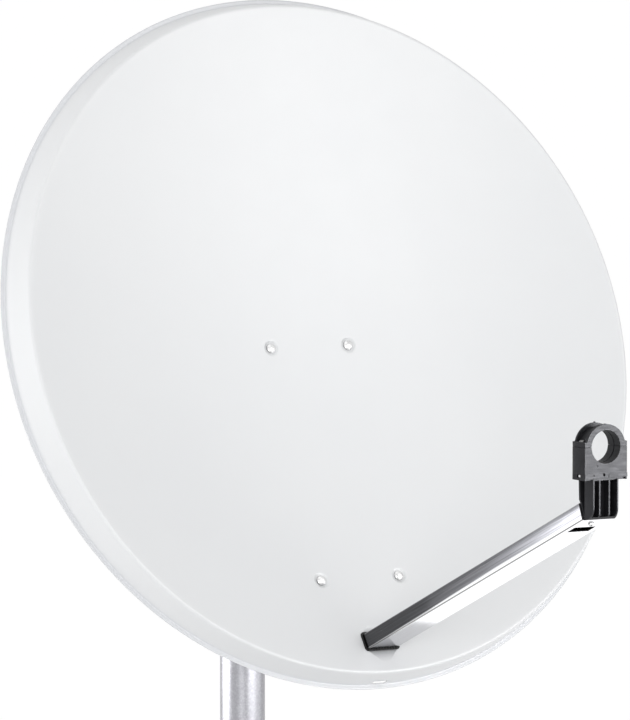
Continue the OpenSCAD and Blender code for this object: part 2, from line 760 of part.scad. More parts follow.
module feed_bore() rotate([90, 0, 0]) {
    cylinder(r = feed_r, h = ring_depth + 2 * over, center = true);
    cylinder(r = feed_r + bore_groove, h = 2 * bore_groove, center = true);
}

module holder_block() difference() {
    union() {
        translate([-ear_half, -feed_lead, block_low]) cube([2 * ear_half, ring_depth, strip_high - block_low]);
        translate([0, feed_mid, strip_high - over])
            linear_extrude(feed_lift - split_gap / 2 - strip_high + over) boss_plan();
        front_strip(-ear_half, ear_half, strip_out);
        front_strip(strip_pad[0], strip_pad[1], 1.5 * strip_out);
    }
    translate([rib_t - ear_half, -feed_lead - over, block_low - over])
        cube([2 * ear_half - 2 * rib_t, rib_back + over, strip_low - block_low + over]);
    for (notch = strip_notches)
        translate([notch[0] - notch[1] / 2, -feed_lead - 2 * strip_out, (strip_low + strip_high) / 2 - 1])
            cube([notch[1], 2 * strip_out + notch[1], 2 + notch[1] / 2]);
    translate([mark_at[0], -feed_lead - over, mark_at[1]]) rotate([-90, 0, 0])
        cylinder(r = fine_d / 3, h = strip_out / 2 + over);
}

module feed_holder() color(black) difference() {
    union() {
        in_holder() {
            holder_block();
            intersection() {
                side_sheet(-tongue_w / 2, tongue_w) tongue_outline();
                translate([0, 0, -arm_h]) linear_extrude(arm_h + block_low + over) tongue_plan();
            }
        }
        in_arm() translate([0, 0, arm_reach - plug_len]) linear_extrude(plug_len + rib_t)
            rounded_rect(min(tube_in[0], tongue_w / 2), tube_in[1], arm_corner / 4);
    }
    in_holder() {
        translate([0, feed_mid, feed_lift]) feed_bore();
        rib_pocket(rib_t - tongue_nose / 2, -rib_x - rib_t / 2);
        rib_pocket(-rib_x + rib_t / 2, rib_x - rib_t / 2);
        rib_pocket(rib_x + rib_t / 2, tongue_nose / 2 - rib_t);
        translate([rib_t - tongue_nose / 2, tongue_front - over, pocket_floor])
            cube([tongue_nose - 2 * rib_t, rib_back + over, block_low + 2 * over - pocket_floor]);
        for (x = [-1, 1]) {
            side_pocket(x > 0 ? tongue_w / 4 : -tongue_w / 2 - over);
            translate([x * screw_x, feed_mid, nut_low - seat_gap]) hull() {
                hex_prism(fine_d + hole_play, nut_h(fine_d) + seat_gap);
                translate([x * ear_half, 0, 0]) hex_prism(fine_d + hole_play, nut_h(fine_d) + seat_gap);
            }
        }
    }
    at_ear_screws() translate([0, 0, nut_low - bolt_end(fine_d) - seat_gap])
        cylinder(r = fine_d / 2 + hole_play, h = feed_lift);
    in_arm() translate([0, -arm_h / 2, arm_reach - holder_screw_back]) rotate([-90, 0, 0])
        cylinder(r = fine_d / 2 + hole_play / 3, h = 0.75 * arm_h);
}

// A small ridge on top of one of the cap's rings, from y0 to y1
module top_ridge(y0, y1, h) translate([0, y1, 0]) rotate([90, 0, 0]) linear_extrude(y1 - y0)
    polygon([[-1.2, ring_r - 0.5], [1.2, ring_r - 0.5], [0, ring_r + h]]);

module feed_cap() color(black) difference() {
    in_holder() translate([0, feed_mid, feed_lift]) difference() {
        union() {
            rotate([90, 0, 0]) cylinder(r = ring_r, h = ring_depth, center = true);
            linear_extrude(ear_t) boss_plan();
            top_ridge(-ring_depth / 2, front_ring - ring_depth / 2, 0.5);
            top_ridge(ring_depth / 2 - rear_ring, ring_depth / 2, 1.3);
        }
        translate([-2 * ear_half, -ring_depth, -2 * ring_r])
            cube([4 * ear_half, 2 * ring_depth, 2 * ring_r + split_gap / 2]);
        feed_bore();
        difference() {
            translate([0, (front_ring - rear_ring) / 2, 0]) rotate([90, 0, 0])
                cylinder(r = ring_r + over, h = ring_depth - front_ring - rear_ring, center = true);
            rotate([90, 0, 0]) cylinder(r = ring_floor, h = ring_depth, center = true);
            translate([-2 * ring_r, -ring_depth, -2 * ring_r]) cube([4 * ring_r, 2 * ring_depth, 2 * ring_r + ear_t]);
        }
    }
    at_ear_screws() translate([0, 0, feed_lift]) {
        translate([0, 0, -over]) cylinder(r = fine_d / 2 + hole_play, h = ring_r);
        translate([0, 0, ear_t]) cylinder(r = screw_head_r + hole_play, h = ring_r);
    }
}

module feed_cap_screws() color("silver") at_ear_screws() translate([0, 0, feed_lift + ear_t])
    dome_bolt(fine_d, screw_head_r, feed_lift + ear_t - nut_low + bolt_end(fine_d));

module feed_cap_nuts() color("silver") at_ear_screws() translate([0, 0, nut_low]) hex_nut(fine_d);

module holder_screw() color("silver") in_arm() translate([0, -arm_h / 2, arm_reach - holder_screw_back])
    rotate([90, 0, 0]) dome_bolt(fine_d, screw_head_r, arm_h / 2);

mast_tube();
mast_cap();
mount_head();
front_jaws();
rear_jaws();
clamp_bolts();
clamp_washers();
clamp_nuts();
pivot_bolt();
pivot_washers();
pivot_nut();
reflector();
reflector_bolts();
reflector_spacers();
reflector_washers();
reflector_nuts();
dish_bracket();
lock_bolt();
lock_washers();
lock_nut();
arm_bracket();
arm_bracket_bolts();
arm_bracket_nuts();
arm_cross_bolts();
arm_cross_nuts();
feed_arm();
arm_grommet();
feed_holder();
feed_cap();
feed_cap_screws();
feed_cap_nuts();
holder_screw();
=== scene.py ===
import json
import math

import bpy
import numpy as np
from mathutils import Matrix, Vector
from mathutils.geometry import delaunay_2d_cdt


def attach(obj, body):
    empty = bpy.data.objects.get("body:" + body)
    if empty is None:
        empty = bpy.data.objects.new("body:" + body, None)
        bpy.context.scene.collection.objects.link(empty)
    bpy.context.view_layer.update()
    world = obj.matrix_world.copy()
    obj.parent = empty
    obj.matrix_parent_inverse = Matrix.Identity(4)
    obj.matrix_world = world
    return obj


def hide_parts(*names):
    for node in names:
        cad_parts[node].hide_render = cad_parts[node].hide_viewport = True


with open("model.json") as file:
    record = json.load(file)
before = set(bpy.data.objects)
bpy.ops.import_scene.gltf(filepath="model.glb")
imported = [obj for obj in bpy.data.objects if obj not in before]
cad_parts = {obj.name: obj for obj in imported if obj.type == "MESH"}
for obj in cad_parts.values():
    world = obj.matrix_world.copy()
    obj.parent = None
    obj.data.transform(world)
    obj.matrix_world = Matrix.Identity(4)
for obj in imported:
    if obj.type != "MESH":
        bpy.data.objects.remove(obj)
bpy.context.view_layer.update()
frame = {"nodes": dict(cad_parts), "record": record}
NODES = frame["nodes"]

MM = 0.001

# Places and sizes of the CAD model, in millimetres and degrees
RIM_AT = (0.0, -252.465, 620.025)
FACE_TILT = 19.4
HALF_U = 434.0
HALF_V = 446.0
FOCAL = 575.0
BEAM_OFFSET = 22.6
VERTEX_Y = 478.699
VERTEX_Z = 177.381
SHEET = 0.8
SKIRT_DEPTH = 44.0
SKIRT_FLARE = 11.0
LIP_W = 6.0
LIP_RISE = 4.0
BOLT_SPAN = 114.0
BOLT_ROWS = (2.0, -314.0)
SEAT_DEPTH = 2.0
BRACKET_MID = (0.0, -156.0, -55.1946)
BRACKET_LEAN = -5.40434
ROW_HALF = 158.705
BRACKET_FRONT = -14.7893
BRACKET_BACK = -17.7893
SLOT_V = -402.41
SLOT_LEAN = -16.9244
SLOT_HALF_U = 24.1
SLOT_HALF_V = 12.6178
SLOT_CORNER = 3.6
EDGING_WALL = 1.6
LIP_OUT = 1.1
LIP_T = 1.2
ARM_LOW = 401.4
ARM_RISE = 3.13
ARM_H = 21.4
ARM_REACH = 541.0
ARM_TAIL = 103.666
ARM_CROSS = -247.477
ARM_BOLT_AT = (32.5, 23.7)
ARM_CROSS_BOLTS = (15.6, 40.8)
ARM_TAB_OUT = 25.7
CLAMP_BEND = 22.53
SCREW_X = 24.65
FEED_MID = -7.0
FEED_LIFT = 77.8
NUT_LOW = 41.7
EAR_T = 6.0
PIVOT = (-150.0, 430.0)
LOCK = (-144.351, 501.778)
CHEEK_OUT = 52.5056
SIDE_GAP = 0.3
JAW_FRONT = 42.1874
HEAD_T = 3.0
CLAMP_X = 41.0
JAW_HEIGHTS = (406.0, 514.0)

# Finer values of the reflector's mesh, in millimetres, with numbers of points and rings
LIP_CURL = 0.8
DRAIN_LOW = 2.4
DRAIN_HIGH = 11.0
RIM_POINTS = 288
CREST_ROUND = 5.0
CREST_STEPS = 7
LIP_ROUND = 1.6
LIP_STEPS = 5
SKIRT_ROWS = (-9.0, -16.0, -23.0, -30.0)
FACE_RINGS = 40
FACE_SHARE = 0.992
SEAT_FLAT = 7.4
SEAT_BLEND = 3.4
SEAT_HOLE = 3.3
SEAT_RINGS = (5.4, 7.0, 7.6, 8.2, 8.8, 9.4, 10.0, 10.6, 11.4, 13.0)
SEAT_POINTS = 40
SEAT_CLEAR = 16.0
SLOT_RINGS = (0.0, 1.5, 4.0)
SLOT_CLEAR_U = 8.0
SLOT_CLEAR_V = 7.0

# Fasteners, in millimetres and degrees, some by thread size
SCREW_TURN = 29.0
PITCH = {8: 1.25, 6: 1.0, 4: 0.7}
PAST_NUT = {8: 4.0, 6: 3.0, 4: 2.0}
HEAD_SHARE = 0.66
NUT_SHARE = 0.8
WASHER_T = 1.6
SMALL_WASHER_T = 1.2
THREAD_LEAD = 1.0
CLAMP_THREAD = 25.0
SMALL_THREAD = 12.0
ARM_BOLT_GRIP = 6.0
DOME_R = 6.6
DOME_H = 3.96
EAR_HEAD_R = 3.6
EAR_HEAD_H = 2.2
TIP_HEAD_R = 3.7
TIP_HEAD_H = 3.3
TIP_SCREW_BACK = 17.0
TIP_PLAIN = 2.0
ROUND_POINTS = 48


# Frames of the CAD model, as matrices in millimetres

def turn_x(degrees):
    """Turn about x."""
    return Matrix.Rotation(math.radians(degrees), 4, "X")


IN_RIM = Matrix.Translation(RIM_AT) @ turn_x(90 - FACE_TILT)
IN_BRACKET = IN_RIM @ Matrix.Translation(BRACKET_MID) @ turn_x(BRACKET_LEAN)
IN_ARM = IN_RIM @ Matrix.Translation((0, -ARM_LOW, 0)) @ turn_x(-ARM_RISE)
IN_HOLDER = IN_ARM @ Matrix.Translation((0, 0, ARM_REACH)) @ turn_x(CLAMP_BEND - 90)
IN_PART = Matrix.Identity(4)
FLIP = turn_x(180)


# Materials

class Shader:
    """A node material built up by short calls."""

    def __init__(self, name):
        self.material = bpy.data.materials.new(name)
        self.material.use_nodes = True
        self.tree = self.material.node_tree
        self.surface = self.tree.nodes["Principled BSDF"]

    def node(self, kind, inputs=None, **settings):
        made = self.tree.nodes.new(kind)
        for key, value in settings.items():
            setattr(made, key, value)
        for key, value in (inputs or {}).items():
            self.put(made, key, value)
        return made

    def put(self, made, key, value):
        """Link a socket to an input, or write a plain value into it."""
        socket = made.inputs[key]
        if isinstance(value, bpy.types.NodeSocket):
            self.tree.links.new(value, socket)
        else:
            socket.default_value = value

    def set(self, **values):
        """Inputs of the surface shader, by name."""
        for key, value in values.items():
            self.put(self.surface, key.replace("_", " "), value)

    def place(self, matrix=None, scale=(1, 1, 1)):
        """Coordinates in metres of the part's frame, or of another frame, stretched by a scale."""
        coordinates = self.node("ShaderNodeTexCoord").outputs["Object"]
        if matrix is not None:
            back = matrix.inverted()
            coordinates = self.node(
                "ShaderNodeMapping",
                {"Vector": coordinates, "Rotation": back.to_euler(), "Location": back.translation * MM},
            ).outputs["Vector"]
        return self.node("ShaderNodeMapping", {"Vector": coordinates, "Scale": scale}).outputs["Vector"]

    def axes(self, vector):
        made = self.node("ShaderNodeSeparateXYZ", {"Vector": vector})
        return made.outputs["X"], made.outputs["Y"], made.outputs["Z"]

    def math(self, operation, first, second=0.0, third=0.0):
        return self.node("ShaderNodeMath", {0: first, 1: second, 2: third}, operation=operation).outputs[0]

    def range(self, value, low, high, out_low=0.0, out_high=1.0, kind="LINEAR"):
        """A value moved from one span of numbers to another."""
        made = self.node(
            "ShaderNodeMapRange",
            {"Value": value, "From Min": low, "From Max": high, "To Min": out_low, "To Max": out_high},
            interpolation_type=kind,
        )
        return made.outputs["Result"]

    def noise(self, vector, scale, detail=4.0, roughness=0.55):
        made = self.node(
            "ShaderNodeTexNoise",
            {"Vector": vector, "Scale": scale, "Detail": detail, "Roughness": roughness},
        )
        return made.outputs["Fac"]

    def open_sky(self, reach_mm):
        """One on open surfaces, and less in corners."""
        made = self.node("ShaderNodeAmbientOcclusion", {"Distance": reach_mm * MM}, samples=8)
        return made.outputs["AO"]

    def ramp(self, factor, stops):
        """Colour or grey that runs through the given stops."""
        made = self.node("ShaderNodeValToRGB", {"Fac": factor})
        elements = made.color_ramp.elements
        while len(elements) < len(stops):
            elements.new(0.5)
        for element, (position, colour) in zip(elements, stops):
            element.position = position
            element.color = grey(colour) if isinstance(colour, float) else (*colour, 1.0)
        return made.outputs["Color"]

    def mix(self, factor, first, second, kind="MIX"):
        made = self.node("ShaderNodeMix", data_type="RGBA", blend_type=kind)
        self.put(made, 0, factor)
        self.put(made, 6, first)
        self.put(made, 7, second)
        return made.outputs[2]

    def bump(self, height, strength, depth_mm):
        made = self.node(
            "ShaderNodeBump", {"Height": height, "Strength": strength, "Distance": depth_mm * MM}
        )
        self.set(Normal=made.outputs["Normal"])


def grey(value):
    """Colour of one grey."""
    return (value, value, value, 1.0)


def make_paint():
    """Pale grey powder coat with faint clouds and flecks, and painted shade on the back lip."""
    shader = Shader("grey_paint")
    place = shader.place()
    cloud = shader.noise(place, 2.4, 3.0)
    fleck = shader.noise(place, 420.0, 2.0)
    body = shader.ramp(cloud, [(0.3, (0.735, 0.745, 0.757)), (0.7, (0.762, 0.770, 0.778))])
    body = shader.mix(shader.range(fleck, 0.0, 1.0, 0.0, 0.05), body, grey(0.62))
    u, v, depth = shader.axes(shader.place(IN_RIM, (1 / (HALF_U * MM), 1 / (HALF_V * MM), 1)))
    spread = shader.math("MULTIPLY_ADD", u, u, shader.math("MULTIPLY", v, v))
    # Painted shade: the colour goes darker in the corner between the skirt and the back lip
    painted_shade_from = (6.0 - SKIRT_DEPTH) * MM
    painted_shade_to = (1.5 - SKIRT_DEPTH) * MM
    painted_lip_shade = shader.range(depth, painted_shade_from, painted_shade_to, kind="SMOOTHSTEP")
    painted_lip_shade = shader.math("MULTIPLY", painted_lip_shade, shader.range(spread, 1.0, 1.015))
    shader.set(Base_Color=shader.mix(painted_lip_shade, body, (0.70, 0.71, 0.73, 1.0)))
    shader.set(Roughness=shader.range(shader.noise(place, 34.0), 0.0, 1.0, 0.42, 0.52))
    shader.set(Coat_Weight=0.12, Coat_Roughness=0.38)
    shader.bump(shader.noise(place, 800.0, 2.0), 0.06, 0.15)
    return shader.material


def make_zinc_sheet():
    """Galvanised sheet with clouds and faint upright streaks."""
    shader = Shader("zinc_sheet")
    place = shader.place()
    cloud = shader.noise(place, 26.0, 6.0)
    streak = shader.noise(shader.place(scale=(1, 1, 0.08)), 240.0, 3.0)
    body = shader.ramp(cloud, [(0.25, (0.46, 0.47, 0.49)), (0.75, (0.66, 0.67, 0.68))])
    streak = shader.range(streak, 0.0, 1.0, 0.0, 0.3)
    shader.set(Base_Color=shader.mix(streak, body, (0.80, 0.80, 0.79, 1.0)))
    shader.set(Metallic=0.9, Roughness=shader.range(cloud, 0.0, 1.0, 0.30, 0.52))
    shader.bump(shader.noise(place, 700.0, 3.0), 0.15, 0.15)
    return shader.material


def make_zinc_bolts(name, low, high):
    """Zinc plating, with painted shade that darkens its crevices and recesses."""
    shader = Shader(name)
    place = shader.place()
    cloud = shader.noise(place, 120.0, 4.0)
    body = shader.ramp(cloud, [(0.3, low), (0.7, high)])
    open_sky = shader.open_sky(2.5)
    # Painted shade: where occlusion is high the colour goes to near black
    shader.set(Base_Color=shader.mix(shader.range(open_sky, 0.35, 0.85), grey(0.05), body))
    shader.set(Metallic=1.0, Roughness=shader.range(cloud, 0.0, 1.0, 0.20, 0.38))
    shader.bump(shader.noise(place, 1500.0, 2.0), 0.10, 0.08)
    return shader.material


def make_galvanised():
    """Hot-dip zinc with fine speckle and larger soft patches."""
    shader = Shader("galvanised_tube")
    place = shader.place()
    speckle = shader.noise(place, 330.0, 4.0, 0.65)
    patch = shader.noise(place, 70.0, 3.0)
    tones = [(0.30, (0.28, 0.28, 0.305)), (0.52, (0.345, 0.345, 0.37)), (0.74, (0.47, 0.47, 0.49))]
    body = shader.ramp(speckle, tones)
    patchy = shader.range(patch, 0.35, 0.70, 0.0, 0.40)
    shader.set(Base_Color=shader.mix(patchy, body, (0.42, 0.42, 0.445, 1.0)))
    shader.set(Metallic=0.95, Roughness=shader.range(patch, 0.25, 0.75, 0.26, 0.38))
    shader.bump(speckle, 0.16, 0.25)
    return shader.material


# Painted reflection and shade on the arm's side and on its upper edge: greys from the dish to the tip
PAINTED_SIDE_TONES = [
    (0.0, 0.06), (0.17, 0.07), (0.35, 0.11), (0.53, 0.185), (0.67, 0.30), (0.78, 0.45), (0.94, 0.82),
]
PAINTED_RIDGE_TONES = [(0.0, 0.06), (0.35, 0.08), (0.67, 0.13), (0.87, 0.22), (1.0, 0.21)]


def make_aluminium():
    """Extruded aluminium with painted reflection and shade: sides dark near the dish and bright near the
    tip, a painted bright band along their foot, and painted dark lines on the rounded corners.
    """
    shader = Shader("bare_aluminium")
    lines = shader.noise(shader.place(IN_ARM, (1, 1, 0.012)), 900.0, 4.0, 0.6)
    marks = shader.noise(shader.place(IN_ARM, (1, 1, 0.10)), 260.0, 6.0, 0.7)
    coarse = shader.noise(shader.place(IN_ARM, (1, 1, 0.010)), 380.0, 3.0, 0.6)
    scratch = shader.noise(shader.place(IN_ARM, (1, 1, 0.06)), 1500.0, 2.0)
    _, up, along = shader.axes(shader.place(IN_ARM))
    normal = shader.node("ShaderNodeTexCoord").outputs["Normal"]
    turn = shader.math("ABSOLUTE", shader.axes(normal)[0])
    side = shader.range(turn, 0.90, 0.97)
    corner = shader.math("MULTIPLY", shader.range(turn, 0.15, 0.40), shader.range(turn, 0.97, 0.90))
    reach = shader.range(along, 0.0, ARM_REACH * MM)
    height = shader.range(up, -ARM_H / 2 * MM, ARM_H / 2 * MM)

    # Side: painted shade above, with a painted bright reflection band along its foot
    ridge = shader.range(height, 0.60, 0.95, kind="SMOOTHSTEP")
    tone = shader.mix(ridge, shader.ramp(reach, PAINTED_SIDE_TONES), shader.ramp(reach, PAINTED_RIDGE_TONES))
    streak = shader.range(shader.math("ADD", lines, coarse), 0.75, 1.25, 0.62, 1.38)
    cool = shader.math("MULTIPLY", streak, 1.07)
    streak = shader.node("ShaderNodeCombineColor", {0: streak, 1: streak, 2: cool}).outputs[0]
    tone = shader.mix(1.0, tone, streak, "MULTIPLY")
    tone = shader.mix(shader.range(scratch, 0.70, 0.78, 0.0, 0.5), tone, grey(0.45))
    band = shader.range(reach, 0.0, 0.6, 0.02, 0.20)
    edge = shader.math("SUBTRACT", height, shader.math("MULTIPLY_ADD", coarse, 0.10, band))
    painted_upper_side = shader.math("MULTIPLY", side, shader.range(edge, -0.05, 0.05, kind="SMOOTHSTEP"))

    painted_foot_band = shader.ramp(lines, [(0.3, (0.95, 0.95, 0.96)), (0.7, (0.985, 0.985, 0.99))])
    sole = shader.ramp(lines, [(0.3, (0.46, 0.46, 0.48)), (0.7, (0.54, 0.54, 0.56))])
    flat = shader.mix(painted_upper_side, shader.mix(side, sole, painted_foot_band), tone)
    # Painted shade: the rounded corners get a dark grey line
    shader.set(Base_Color=shader.mix(corner, flat, grey(0.20)))
    shader.set(Metallic=1.0, Roughness=shader.range(marks, 0.3, 0.7, 0.07, 0.16))
    shader.bump(lines, 0.05, 0.04)
    return shader.material


def make_plastic():
    """Black moulded plastic with a fine grain."""
    shader = Shader("black_plastic")
    place = shader.place()
    cloud = shader.noise(place, 60.0, 4.0)
    brush = shader.noise(shader.place(scale=(0.06, 1, 1)), 900.0, 3.0)
    body = shader.ramp(cloud, [(0.3, (0.006, 0.006, 0.007)), (0.7, (0.014, 0.014, 0.016))])
    shader.set(Base_Color=body)
    shader.set(Roughness=shader.range(brush, 0.3, 0.7, 0.46, 0.60))
    shader.set(Specular_IOR_Level=0.20, Specular_Tint=(0.94, 0.95, 1.0, 1.0))
    shader.bump(shader.noise(place, 1300.0, 2.0), 0.2, 0.10)
    return shader.material


def make_rubber():
    """Dull black edging."""
    shader = Shader("black_rubber")
    place = shader.place()
    shader.set(Base_Color=shader.ramp(shader.noise(place, 90.0), [(0.3, 0.006), (0.7, 0.014)]))
    shader.set(Roughness=shader.range(shader.noise(place, 300.0), 0.0, 1.0, 0.60, 0.78))
    shader.bump(shader.noise(place, 900.0, 2.0), 0.3, 0.15)
    return shader.material


MATERIALS = {
    "grey_paint": make_paint(),
    "zinc_sheet": make_zinc_sheet(),
    "zinc_bolts": make_zinc_bolts("zinc_bolts", 0.61, 0.80),
    # A darker copy of the same zinc, shown on the feed cap's screws
    "darker_zinc": make_zinc_bolts("darker_zinc", 0.14, 0.24),
    "galvanised_tube": make_galvanised(),
    "bare_aluminium": make_aluminium(),
    "black_plastic": make_plastic(),
    "black_rubber": make_rubber(),
}


# Meshes

class Mesh:
    """Vertices and faces in millimetres, gathered from several shapes."""

    def __init__(self):
        self.vertices = []
        self.faces = []

    def add(self, vertices, faces, matrix=None):
        start = len(self.vertices)
        place = matrix or Matrix.Identity(4)
        self.vertices += [place @ Vector(v) for v in vertices]
        self.faces += [tuple(start + i for i in face) for face in faces]

    def piece(self, name, slot, body, replaced=(), sharp=35.0, look=None):
        """Object of the scene that rides on a body, and may take the place of CAD nodes."""
        data = bpy.data.meshes.new(name)
        data.from_pydata([v * MM for v in self.vertices], [], self.faces)
        data.validate()
        data.materials.append(MATERIALS[look or slot])
        data.shade_smooth()
        data.set_sharp_from_angle(angle=math.radians(sharp))
        made = bpy.data.objects.new(name, data)
        bpy.context.scene.collection.objects.link(made)
        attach(made, body)
        if replaced:
            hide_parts(*replaced)
        return made


def turns(count):
    """Even angles round a circle."""
    return [2 * math.pi * k / count for k in range(count)]


def ring_faces(first, second, count, flip=False):
    """Quads between two closed rings of vertices that start at two indices."""
    faces = []
    for k in range(count):
        after = (k + 1) % count
        quad = (first + k, second + k, second + after, first + after)
        faces.append(quad[::-1] if flip else quad)
    return faces


# Reflector

def face_w(u, v):
    """Height of the paraboloid over the plane of the front edge."""
    s = math.sin(math.radians(BEAM_OFFSET))
    c = math.cos(math.radians(BEAM_OFFSET))
    y = VERTEX_Y + v * c
    a = s * s
    b = -2 * y * s - 4 * FOCAL * c
    d = u * u + y * y - 4 * FOCAL * (VERTEX_Z + v * s)
    return (-b - np.sqrt(b * b - 4 * a * d)) / (2 * a)


SEATS = [(x * BOLT_SPAN / 2, v) for x in (-1, 1) for v in BOLT_ROWS]


def seated_w(u, v):
    """Height of the face with the round bolt seats pressed in."""
    w = face_w(u, v)
    lean = math.radians(BRACKET_LEAN)
    for seat_u, seat_v in SEATS:
        floor_w = face_w(seat_u, seat_v) + (v - seat_v) * math.tan(lean) - SEAT_DEPTH / math.cos(lean)
        t = np.clip((np.hypot(u - seat_u, v - seat_v) - SEAT_FLAT) / SEAT_BLEND, 0.0, 1.0)
        share = t * t * (3 - 2 * t)
        w = np.where(t < 1.0, floor_w + (w - floor_w) * share, w)
    return w


def skirt_ring(angles, w, grow=0.0):
    """Ring of the skirt at a depth, grown outward."""
    part = -w / SKIRT_DEPTH
    u = (HALF_U + SKIRT_FLARE * part + grow) * np.cos(angles)
    v = (HALF_V + SKIRT_FLARE * part * HALF_V / HALF_U + grow) * np.sin(angles) + LIP_RISE * part
    return np.stack([u, v, np.broadcast_to(w, angles.shape)], axis=1)


def unit(rows):
    """Rows of a table, each brought to length one."""
    return rows / np.linalg.norm(rows, axis=1, keepdims=True)


def corner_rings(first, corner, last, steps):
    """Rings of a rounded corner between two rings, after the first one."""
    rings = []
    for i in range(1, steps + 1):
        t = i / steps
        rings.append((1 - t) ** 2 * first + 2 * t * (1 - t) * corner + t * t * last)
    return rings


def slot_loop(grow, per_corner=6):
    """Outline of the arm's slot in u and v."""
    squeeze = math.cos(math.radians(SLOT_LEAN))
    radius = SLOT_CORNER + grow
    points = []
    for corner, (x, y) in enumerate(((1, 1), (-1, 1), (-1, -1), (1, -1))):
        for i in range(per_corner + 1):
            angle = math.radians(90 * (corner + i / per_corner))
            u = x * (SLOT_HALF_U - SLOT_CORNER) + radius * math.cos(angle)
            v = y * (SLOT_HALF_V - SLOT_CORNER) + radius * math.sin(angle)
            points.append((u, SLOT_V + v * squeeze))
    return points


def rim_rings(angles):
    """Ring of the crest, and the rings on the face and the skirt where its rounding starts."""
    inward = 0.98
    downward = -12.0
    crest = skirt_ring(angles, 0.0)
    settling_rounds = 3
    for _ in range(settling_rounds):
        edge_w = face_w(crest[:, 0], crest[:, 1])
        part = -edge_w / SKIRT_DEPTH
        crest[:, 0] = (HALF_U + SKIRT_FLARE * part) * np.cos(angles)
        crest[:, 1] = (HALF_V + SKIRT_FLARE * part) * np.sin(angles) + LIP_RISE * part
        crest[:, 2] = edge_w
    inner = crest * [[inward, inward, 1.0]]
    inner[:, 2] = face_w(inner[:, 0], inner[:, 1])
    below = skirt_ring(angles, downward)
    on_face = crest + CREST_ROUND * unit(inner - crest)
    on_face[:, 2] = face_w(on_face[:, 0], on_face[:, 1])
    on_skirt = crest + CREST_ROUND * unit(below - crest)
    return on_face, crest, on_skirt


def near_detail(u, v):
    """Whether a point of the face lies close to a bolt seat or to the arm's slot."""
    if any(math.hypot(u - a, v - b) < SEAT_CLEAR for a, b in SEATS):
        return True
    return abs(u) < SLOT_HALF_U + SLOT_CLEAR_U and abs(v - SLOT_V) < SLOT_HALF_V + SLOT_CLEAR_V


def face_net(edge):
    """Points and fixed lines of the face in u and v, with finer rings round the seats and the slot."""
    points = [Vector(p[:2]) for p in edge]
    lines = [(k, (k + 1) % RIM_POINTS) for k in range(RIM_POINTS)]

    def loop(outline, fixed):
        first = len(points)
        points.extend(Vector(p) for p in outline)
        if fixed:
            lines.extend((first + k, first + (k + 1) % len(outline)) for k in range(len(outline)))

    for j in range(FACE_RINGS - 1, 0, -1):
        size = j / FACE_RINGS
        number = max(8, int(RIM_POINTS * size))
        for k in range(number):
            angle = 2 * math.pi * (k + 0.5 * (j % 2)) / number
            u = size * HALF_U * FACE_SHARE * math.cos(angle)
            v = size * HALF_V * FACE_SHARE * math.sin(angle)
            if not near_detail(u, v):
                points.append(Vector((u, v)))
    for seat_u, seat_v in SEATS:
        for radius in (SEAT_HOLE, *SEAT_RINGS):
            outline = [
                (seat_u + radius * math.cos(t), seat_v + radius * math.sin(t)) for t in turns(SEAT_POINTS)
            ]
            loop(outline, radius == SEAT_HOLE)
    for grow in SLOT_RINGS:
        loop(slot_loop(grow), grow == 0.0)
    return points, lines


def open_at(u, v):
    """Whether a point of the face lies in a bolt hole or in the arm's slot."""
    inside_hole = 0.99 * SEAT_HOLE
    corner_cut = 0.3 * SLOT_CORNER
    if any(math.hypot(u - a, v - b) < inside_hole for a, b in SEATS):
        return True
    half_v = SLOT_HALF_V * math.cos(math.radians(SLOT_LEAN))
    across = abs(u) - SLOT_HALF_U
    along = abs(v - SLOT_V) - half_v
    return across < 0 and along < 0 and across + along < -corner_cut


def face_mesh(edge):
    """Vertices and faces of the face, and the indices of its edge."""
    points, lines = face_net(edge)
    flat, _, triangles, origin, _, _ = delaunay_2d_cdt(points, lines, [], 0, 1e-5)
    u = np.array([p[0] for p in flat])
    v = np.array([p[1] for p in flat])
    vertices = list(zip(u, v, seated_w(u, v)))
    faces = []
    for triangle in triangles:
        mid_u = sum(u[i] for i in triangle) / 3
        mid_v = sum(v[i] for i in triangle) / 3
        if not open_at(mid_u, mid_v):
            faces.append(tuple(triangle))
    place_of = {source: i for i, sources in enumerate(origin) for source in sources}
    return vertices, faces, [place_of[k] for k in range(RIM_POINTS)]


def build_reflector():
    """Face, crest, skirt and back lip as one sheet, with a drain slot low in the skirt."""
    angles = np.arange(RIM_POINTS) * 2 * math.pi / RIM_POINTS - math.pi / 2
    on_face, crest, on_skirt = rim_rings(angles)
    vertices, faces, ring = face_mesh(on_face)

    # Rings that go on from the face's edge
    low = SHEET - SKIRT_DEPTH
    corner = skirt_ring(angles, low)
    lip_in = skirt_ring(angles, low, LIP_ROUND)
    lip_out = skirt_ring(angles, low, LIP_W)
    lip_out[:, 2] += LIP_CURL
    rows = corner_rings(on_face, crest, on_skirt, CREST_STEPS)
    depths = [*SKIRT_ROWS, DRAIN_HIGH - SKIRT_DEPTH, DRAIN_LOW - SKIRT_DEPTH]
    rows += [skirt_ring(angles, depth) for depth in depths]
    drain_row = len(rows) - 1
    rows += corner_rings(rows[-1], corner, lip_in, LIP_STEPS)
    rows += [lip_in + (lip_out - lip_in) * t for t in (0.5, 1.0)]
    for number, row in enumerate(rows):
        first = len(vertices)
        vertices += [tuple(p) for p in row]
        following = list(range(first, first + RIM_POINTS))
        for k in range(RIM_POINTS):
            after = (k + 1) % RIM_POINTS
            if number == drain_row and k in (0, RIM_POINTS - 1):
                continue
            faces.append((ring[k], following[k], following[after], ring[after]))
        ring = following

    shell = Mesh()
    shell.add(vertices, faces, IN_RIM)
    made = shell.piece("reflector_shell", "grey_paint", "dish", ["reflector"], sharp=50.0)
    thick = made.modifiers.new("thickness", "SOLIDIFY")
    thick.thickness = SHEET * MM
    thick.offset = -1.0
    thick.use_even_offset = True


# Fasteners

def hex_radius(angle, flats):
    """Distance from a hexagon's middle to its side at an angle."""
    local = (angle + math.pi / 6) % (math.pi / 3) - math.pi / 6
    return flats / 2 / math.cos(local)


